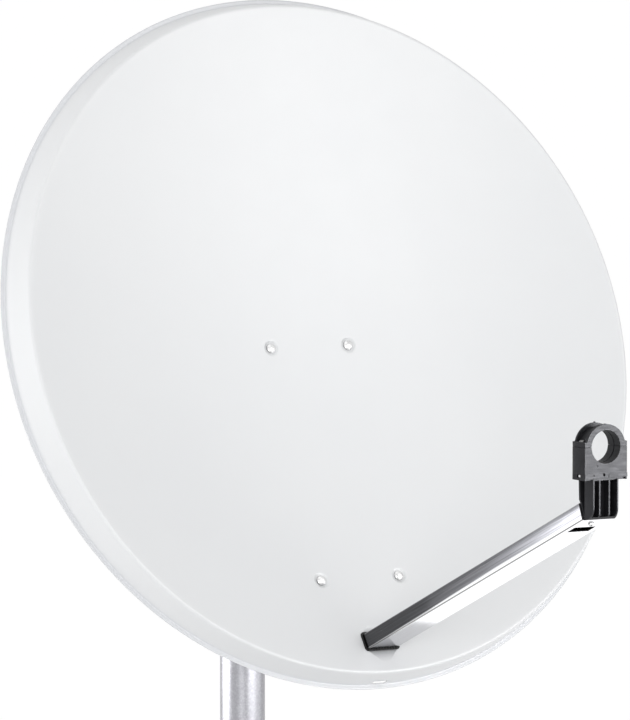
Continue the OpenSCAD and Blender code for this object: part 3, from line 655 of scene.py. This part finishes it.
def hex_body(flats, low, high, bore, low_chamfer=True):
    """Hexagon with chamfered ends, open in the middle where bore is over zero."""
    count = ROUND_POINTS
    chamfer = 0.475 * flats
    slope = math.tan(math.radians(30))
    edge = [hex_radius(t, flats) for t in turns(count)]
    drop = [max(0.0, (r - chamfer) * slope) for r in edge]
    low_drop = drop if low_chamfer else [0.0] * count
    inside = max(bore, 0.01)

    def ring(radii, heights):
        return [(r * math.cos(t), r * math.sin(t), z) for r, t, z in zip(radii, turns(count), heights)]

    rings = [
        ring([inside] * count, [low] * count),
        ring([chamfer] * count, [low] * count),
        ring(edge, [low + d for d in low_drop]),
        ring(edge, [high - d for d in drop]),
        ring([chamfer] * count, [high] * count),
        ring([inside] * count, [high] * count),
    ]
    vertices = [p for one in rings for p in one]
    faces = []
    for i in range(len(rings) - 1):
        faces += ring_faces(i * count, (i + 1) * count, count, True)
    if bore > 0:
        faces += ring_faces((len(rings) - 1) * count, 0, count, True)
    return vertices, faces


def threaded_rod(diameter, low, thread_from, high):
    """Shank along z, plain at first, then with a helical thread and a chamfered end."""
    count = 24
    steps_per_turn = 6
    pitch = PITCH[diameter]
    radius = diameter / 2
    depth = 0.55 * pitch
    end_chamfer = 0.8 * pitch
    end_slope = 0.8
    steps = [low, thread_from]
    number = int((high - thread_from) / pitch * steps_per_turn)
    steps += [thread_from + (i + 1) * (high - thread_from) / number for i in range(number)]
    vertices = []
    faces = []
    for i, z in enumerate(steps):
        for k, angle in enumerate(turns(count)):
            wave = abs(2 * ((z / pitch - k / count) % 1.0) - 1)
            cut = depth * wave if i > 1 else 0.0
            taper = max(0.0, z - (high - end_chamfer)) * end_slope
            r = radius - max(cut, taper)
            vertices.append((r * math.cos(angle), r * math.sin(angle), z))
        if i:
            faces += ring_faces(i * count, (i - 1) * count, count)
    last = (len(steps) - 1) * count
    faces.append(tuple(range(last, last + count)))
    return vertices, faces


def place_on(matrix, point, axis):
    """Frame whose z runs along an axis from a point of another frame."""
    turned = Vector((0, 0, 1)).rotation_difference(Vector(axis)).to_matrix().to_4x4()
    return matrix @ Matrix.Translation(point) @ turned


def hex_flats(diameter):
    """Width over the flats of a bolt head or nut."""
    return 1.5 * diameter + 1


def past_nut(diameter):
    """Length of a bolt from the seat of its nut to its end."""
    return NUT_SHARE * diameter + PAST_NUT[diameter]


def hex_bolts(name, node, body, places, diameter, length, plain):
    """Hexagon bolts whose heads sit at the given frames."""
    shape = Mesh()
    head = HEAD_SHARE * diameter
    for place in places:
        shape.add(*hex_body(hex_flats(diameter), 0.0, head, 0.0, False), place @ FLIP)
        shape.add(*threaded_rod(diameter, 0.0, plain, length), place)
    shape.piece(name, "zinc_bolts", body, [node])


def hex_nuts(name, node, body, places, diameter):
    """Hexagon nuts that sit at the given frames."""
    shape = Mesh()
    bore = diameter / 2 + 0.1
    for place in places:
        shape.add(*hex_body(hex_flats(diameter), 0.0, NUT_SHARE * diameter, bore), place)
    shape.piece(name, "zinc_bolts", body, [node])


def further(places, length):
    """Frames moved along their own z."""
    return [place @ Matrix.Translation((0, 0, length)) for place in places]


def dome_head(radius, height):
    """Smooth domed bolt head on z = 0."""
    count = ROUND_POINTS
    arc_steps = 8
    profile = [(radius, 0.0), (radius, 0.12 * height), (0.985 * radius, 0.25 * height)]
    for i in range(1, arc_steps + 1):
        t = math.radians(90 * i / arc_steps)
        profile.append((0.97 * radius * math.cos(t), height * (0.25 + 0.75 * math.sin(t))))
    rings = profile[:-1]
    vertices = [(r * math.cos(t), r * math.sin(t), z) for r, z in rings for t in turns(count)]
    faces = []
    for i in range(len(rings) - 1):
        faces += ring_faces((i + 1) * count, i * count, count)
    faces.append(tuple(range((len(rings) - 1) * count, len(rings) * count)))
    return vertices, faces


def cross_outline(arm, half):
    """Corners of a cross with four equal arms."""
    return [
        (half, half), (half, arm), (-half, arm), (-half, half), (-arm, half), (-arm, -half),
        (-half, -half), (-half, -arm), (half, -arm), (half, -half), (arm, -half), (arm, half),
    ]


def screw_head(radius, height):
    """Round screw head on z = 0 with a cross recess, as heights over a flat net of triangles."""
    count = ROUND_POINTS
    rim = 0.97 * radius
    shoulder = 0.25 * height
    recess_floor = 0.25 * height
    arm = 0.68 * radius
    half = 0.20 * radius
    slope = 0.05 * radius
    points = []
    for i in range(6):
        r = rim * math.cos(math.radians(15 * i))
        points += [Vector((r * math.cos(t), r * math.sin(t))) for t in turns(count)]
    lines = [(k, (k + 1) % count) for k in range(count)]
    for inset in (0.0, slope):
        outline = cross_outline(arm - inset, half - inset)
        sides = len(outline)
        first = len(points)
        points += [Vector(p) for p in outline]
        lines += [(first + k, first + (k + 1) % sides) for k in range(sides)]
    flat, _, triangles, origin, _, _ = delaunay_2d_cdt(points, lines, [], 0, 1e-6)
    place_of = {source: i for i, sources in enumerate(origin) for source in sources}

    def height_at(x, y):
        far = max(abs(x), abs(y))
        near = min(abs(x), abs(y))
        if far < arm - 0.9 * slope and near < half - 0.9 * slope:
            return recess_floor
        return shoulder + (height - shoulder) * math.sqrt(max(0.0, 1 - (x * x + y * y) / (rim * rim)))

    vertices = [(x, y, height_at(x, y)) for x, y in flat]
    faces = [tuple(triangle) for triangle in triangles]
    upper = [place_of[k] for k in range(count)]
    for z in (0.12 * height, 0.0):
        lower = list(range(len(vertices), len(vertices) + count))
        vertices += [(radius * math.cos(t), radius * math.sin(t), z) for t in turns(count)]
        for k in range(count):
            after = (k + 1) % count
            faces.append((upper[k], lower[k], lower[after], upper[after]))
        upper = lower
    return vertices, faces


def build_head_bolts():
    """Bolts and nuts of the mast clamp, the pivot and the elevation lock."""
    front = -JAW_FRONT - HEAD_T
    clamp = [place_on(IN_PART, (x * CLAMP_X, front, z), (0, 1, 0)) for x in (-1, 1) for z in JAW_HEIGHTS]
    grip = 2 * JAW_FRONT + HEAD_T
    length = grip + WASHER_T + past_nut(8)
    hex_bolts("clamp_bolts_threaded", "clamp_bolts", "head", clamp, 8, length, grip - CLAMP_THREAD)
    hex_nuts("clamp_nuts_chamfered", "clamp_nuts", "head", further(clamp, grip + WASHER_T), 8)

    start = CHEEK_OUT + WASHER_T
    grip = 2 * start
    pivot = [place_on(IN_PART, (-start, *PIVOT), (1, 0, 0))]
    hex_bolts("pivot_bolt_threaded", "pivot_bolt", "head", pivot, 8, grip + past_nut(8), grip - THREAD_LEAD)
    hex_nuts("pivot_nut_chamfered", "pivot_nut", "head", further(pivot, grip), 8)

    start = CHEEK_OUT + SIDE_GAP + WASHER_T
    grip = 2 * start
    lock = [place_on(IN_PART, (-start, *LOCK), (1, 0, 0))]
    hex_bolts("lock_bolt_threaded", "lock_bolt", "dish", lock, 8, grip + past_nut(8), grip - THREAD_LEAD)
    hex_nuts("lock_nut_chamfered", "lock_nut", "dish", further(lock, grip), 8)


def build_arm_bolts():
    """Bolts and nuts that hold the arm's bracket, and the arm in it."""
    corners = [(x * ARM_BOLT_AT[0], ARM_CROSS + y * ARM_BOLT_AT[1]) for x in (-1, 1) for y in (-1, 1)]
    base = [place_on(IN_BRACKET, (x, y, BRACKET_FRONT), (0, 0, -1)) for x, y in corners]
    grip = ARM_BOLT_GRIP
    length = grip + past_nut(6)
    plain = grip - THREAD_LEAD
    hex_bolts("arm_bracket_bolts_threaded", "arm_bracket_bolts", "dish", base, 6, length, plain)
    hex_nuts("arm_bracket_nuts_chamfered", "arm_bracket_nuts", "dish", further(base, grip), 6)

    cross = [place_on(IN_ARM, (-ARM_TAB_OUT, 0, z - ARM_TAIL), (1, 0, 0)) for z in ARM_CROSS_BOLTS]
    grip = 2 * ARM_TAB_OUT
    length = grip + past_nut(6)
    plain = grip - THREAD_LEAD
    hex_bolts("arm_cross_bolts_threaded", "arm_cross_bolts", "dish", cross, 6, length, plain)
    hex_nuts("arm_cross_nuts_chamfered", "arm_cross_nuts", "dish", further(cross, grip), 6)


def build_reflector_bolts():
    """Domed bolts of the face, with their nuts behind the bracket."""
    corners = [(x * BOLT_SPAN / 2, y * ROW_HALF) for x in (-1, 1) for y in (-1, 1)]
    seats = [place_on(IN_BRACKET, (x, y, -SEAT_DEPTH), (0, 0, -1)) for x, y in corners]
    length = -BRACKET_BACK - SEAT_DEPTH + SMALL_WASHER_T + past_nut(6)
    domes = Mesh()
    for place in seats:
        domes.add(*threaded_rod(6, 0.0, length - SMALL_THREAD, length), place)
        domes.add(*dome_head(DOME_R, DOME_H), place @ FLIP)
    domes.piece("reflector_bolts_domed", "zinc_bolts", "dish", ["reflector_bolts"])
    nuts = [place_on(IN_BRACKET, (x, y, BRACKET_BACK - SMALL_WASHER_T), (0, 0, -1)) for x, y in corners]
    hex_nuts("reflector_nuts_chamfered", "reflector_nuts", "dish", nuts, 6)


def build_screws():
    """Screws and nuts of the feed clamp, and the screw under the arm's tip."""
    top = FEED_LIFT + EAR_T
    length = top - NUT_LOW + PAST_NUT[4]
    screws = Mesh()
    for x in (-1, 1):
        ear = place_on(IN_HOLDER, (x * SCREW_X, FEED_MID, top), (0, 0, -1))
        screws.add(*threaded_rod(4, 0.0, length - SMALL_THREAD, length), ear)
        screws.add(*screw_head(EAR_HEAD_R, EAR_HEAD_H), ear @ FLIP)
    screws.piece("feed_cap_screws_crossed", "zinc_bolts", "dish", ["feed_cap_screws"], look="darker_zinc")
    nuts = [place_on(IN_HOLDER, (x * SCREW_X, FEED_MID, NUT_LOW), (0, 0, 1)) for x in (-1, 1)]
    hex_nuts("feed_cap_nuts_chamfered", "feed_cap_nuts", "dish", nuts, 4)

    tip = place_on(IN_ARM, (0, -ARM_H / 2, ARM_REACH - TIP_SCREW_BACK), (0, 1, 0))
    head = tip @ FLIP @ Matrix.Rotation(math.radians(SCREW_TURN), 4, "Z")
    screw = Mesh()
    screw.add(*threaded_rod(4, 0.0, TIP_PLAIN, ARM_H / 2), tip)
    screw.add(*screw_head(TIP_HEAD_R, TIP_HEAD_H), head)
    screw.piece("holder_screw_crossed", "zinc_bolts", "dish", ["holder_screw"])


# Edging of the arm's slot

def build_edging():
    """Comb of short teeth on the lower lip of the slot's edging."""
    pitch = 4.0
    width = 2.3
    depth = 1.5
    sunk = 0.2
    sag = (SLOT_HALF_U + LIP_OUT) ** 2 / (4 * FOCAL) + 0.3
    front = sag + LIP_T - sunk
    low = -SLOT_HALF_V - 0.6 * LIP_OUT
    high = -SLOT_HALF_V + EDGING_WALL - 0.4
    in_slot = IN_RIM @ Matrix.Translation((0, SLOT_V, face_w(0.0, SLOT_V))) @ turn_x(SLOT_LEAN)
    peak = 0.4 * low + 0.6 * high
    outline = [(low, 0.0), (high, 0.0), (high, 0.6 * depth), (peak, depth), (low, 0.5 * depth)]
    count = len(outline)
    each_side = 5
    teeth = Mesh()
    for i in range(-each_side, each_side + 1):
        middle = i * pitch
        vertices = [(middle + side * width / 2, y, front + z) for side in (-1, 1) for y, z in outline]
        faces = [tuple(range(count)), tuple(range(2 * count - 1, count - 1, -1))]
        faces += [(k, count + k, count + (k + 1) % count, (k + 1) % count) for k in range(count)]
        teeth.add(vertices, faces, in_slot)
    made = teeth.piece("edging_teeth", "black_rubber", "dish")
    soft = made.modifiers.new("edges", "BEVEL")
    soft.width = 0.2 * MM
    soft.segments = 2


# CAD nodes: a material for each, and softened edges for those that keep their own shape

SLOT_OF_NODE = {part["node"]: part["material_slot"] for part in frame["record"]["subparts"]}
SOFT_EDGES = {
    "mount_head": 0.5, "dish_bracket": 0.5, "arm_bracket": 0.5, "front_jaws": 0.35, "rear_jaws": 0.35,
    "feed_holder": 0.6, "feed_cap": 0.6, "mast_cap": 0.8, "mast_tube": 0.5, "clamp_washers": 0.25,
    "pivot_washers": 0.25, "lock_washers": 0.25, "reflector_washers": 0.2, "reflector_spacers": 0.4,
    "arm_grommet": 0.3, "feed_arm": 0.25,
}
WELD_REACH = 0.002
FLAT_ANGLE = 0.4
EDGE_ANGLE = 32.0


def dress_nodes():
    """Materials of the CAD nodes, and modifiers that clean and soften their edges."""
    for name, node in NODES.items():
        node.data.materials.clear()
        node.data.materials.append(MATERIALS[SLOT_OF_NODE[name]])
        if name in SOFT_EDGES:
            weld = node.modifiers.new("weld", "WELD")
            weld.merge_threshold = WELD_REACH * MM
            plain = node.modifiers.new("flats", "DECIMATE")
            plain.decimate_type = "DISSOLVE"
            plain.angle_limit = math.radians(FLAT_ANGLE)
            soft = node.modifiers.new("edges", "BEVEL")
            soft.width = SOFT_EDGES[name] * MM
            soft.segments = 2
            soft.limit_method = "ANGLE"
            soft.angle_limit = math.radians(EDGE_ANGLE)
            even = node.modifiers.new("normals", "WEIGHTED_NORMAL")
            even.mode = "FACE_AREA"
            even.weight = 100


# Floor, light and camera

def seen_directly(tree):
    """One for rays from the camera, mirrors and glass, and zero for those that carry light."""
    path = tree.nodes.new("ShaderNodeLightPath")
    total = path.outputs["Is Camera Ray"]
    for kind in ("Is Glossy Ray", "Is Transmission Ray"):
        larger = tree.nodes.new("ShaderNodeMath")
        larger.operation = "MAXIMUM"
        tree.links.new(total, larger.inputs[0])
        tree.links.new(path.outputs[kind], larger.inputs[1])
        total = larger.outputs[0]
    return total


def build_floor():
    """Wide pale floor that is close to white for the camera and keeps the shadow."""
    half = 300.0
    drop = 0.001
    white_share = 0.90
    white_strength = 1.045
    corners = [(-half, -half, 0), (half, -half, 0), (half, half, 0), (-half, half, 0)]
    data = bpy.data.meshes.new("floor")
    data.from_pydata(corners, [], [(0, 1, 2, 3)])
    floor = bpy.data.objects.new("floor", data)
    floor.location = (0, 0, -drop)
    bpy.context.scene.collection.objects.link(floor)
    shader = Shader("floor")
    shader.set(Base_Color=grey(0.91), Roughness=0.9)
    share = shader.math("MULTIPLY", seen_directly(shader.tree), white_share)
    white = shader.node("ShaderNodeEmission", {"Color": grey(1.0), "Strength": white_strength})
    mixed = shader.node("ShaderNodeMixShader", {0: share})
    shader.put(mixed, 1, shader.surface.outputs[0])
    shader.put(mixed, 2, white.outputs[0])
    output = shader.tree.nodes["Material Output"]
    shader.put(output, "Surface", mixed.outputs[0])
    data.materials.append(shader.material)


def area_light(name, place, target, size, power):
    """Rectangular lamp that looks at a target and is not seen itself."""
    data = bpy.data.lights.new(name, "AREA")
    data.shape = "RECTANGLE"
    data.size, data.size_y = size
    data.energy = power
    made = bpy.data.objects.new(name, data)
    made.location = place
    made.rotation_euler = (Vector(target) - Vector(place)).to_track_quat("-Z", "Y").to_euler()
    made.visible_camera = False
    bpy.context.scene.collection.objects.link(made)
    return made


def gloss_card(name, place, target, size, power, receivers=()):
    """Lamp that shows only as a highlight, on all pieces or on the named ones alone."""
    made = area_light(name, place, target, size, power)
    made.visible_diffuse = False
    if receivers:
        lit = bpy.data.collections.new(name + "_lit")
        for receiver in receivers:
            lit.objects.link(NODES.get(receiver) or bpy.data.objects[receiver])
        made.light_linking.receiver_collection = lit


def build_light():
    """Even pale surroundings, five lamps, and cards that show as highlights."""
    ambient = 0.65
    white = 1.0
    world = bpy.data.worlds.new("studio")
    bpy.context.scene.world = world
    world.use_nodes = True
    tree = world.node_tree
    background = tree.nodes["Background"]
    strength = tree.nodes.new("ShaderNodeMapRange")
    strength.inputs["To Min"].default_value = ambient
    strength.inputs["To Max"].default_value = white
    tree.links.new(seen_directly(tree), strength.inputs["Value"])
    tree.links.new(strength.outputs["Result"], background.inputs["Strength"])
    background.inputs["Color"].default_value = (1, 1, 1, 1)
    area_light("front", (-2.6, -4.4, 0.9), (0, -0.3, 0.6), (2.6, 2.2), 80.0)
    area_light("top", (-0.3, -0.8, 3.6), (0, -0.3, 0.6), (2.6, 2.6), 10.0)
    area_light("left", (-3.2, 0.9, 0.8), (0, -0.2, 0.6), (2.0, 2.0), 28.0)
    area_light("right", (3.2, -2.2, 0.25), (0, -0.4, 0.5), (2.2, 1.6), 11.0)
    area_light("low", (0.45, -0.62, 0.02), (0.30, -0.50, 0.40), (1.1, 0.6), 2.2)
    gloss_card("card", (2.2, -4.6, 2.1), (0, -0.6, 0.65), (1.9, 1.9), 130.0)
    clamp = ("feed_holder", "feed_cap")
    gloss_card("holder_card", (2.2, -4.6, 0.4), (0, -0.9, 0.48), (1.9, 1.9), 1080.0, clamp)
    gloss_card("low_left_card", (-0.51, 0.32, 0.16), (0, 0, 0.15), (0.56, 0.32), 2.4, ("mast_tube",))
    gloss_card("low_right_card", (0.19, -0.565, 0.16), (0, 0, 0.15), (0.46, 0.32), 1.05, ("mast_tube",))
    gloss_card("rim_card", (1.0, -2.3, 0.14), (0.1, -0.35, 0.2), (0.9, 0.25), 27.0, ("reflector_shell",))
    gloss_card("arm_card", (-0.13, -0.52, 0.42), (0, -0.52, 0.42), (0.70, 0.36), 0.26, ("feed_arm",))
    gloss_card("under_card", (0.35, -0.10, 0.01), (0.35, -0.10, 1.0), (1.0, 1.4), 4.0, ("feed_arm",))


def build_camera():
    """Camera of the main view, aimed so that the rim's middle falls on its place in the picture."""
    azimuth = math.radians(-29.3187)
    elevation = math.radians(4.1136)
    distance = 6901.9
    focal_px = 5362.5
    middle = (335.21, 333.30)
    width = 630
    height = 720
    sensor = 36.0
    level = math.cos(elevation)
    forward = Vector((-math.sin(azimuth) * level, math.cos(azimuth) * level, -math.sin(elevation)))
    right = Vector((math.cos(azimuth), math.sin(azimuth), 0))
    up = right.cross(forward)
    place = Vector(RIM_AT) - forward * distance
    aim = forward * focal_px + right * (width / 2 - middle[0]) - up * (height / 2 - middle[1])
    data = bpy.data.cameras.new("camera")
    data.sensor_width = sensor
    data.lens = sensor * focal_px / height
    data.clip_end = 1000.0
    camera = bpy.data.objects.new("camera", data)
    camera.location = place * MM
    camera.rotation_euler = aim.to_track_quat("-Z", "Y").to_euler()
    bpy.context.scene.collection.objects.link(camera)
    bpy.context.scene.camera = camera


build_camera()
dress_nodes()
build_reflector()
build_head_bolts()
build_arm_bolts()
build_reflector_bolts()
build_screws()
build_edging()
build_floor()
build_light()
bpy.context.scene.view_settings.view_transform = "Standard"
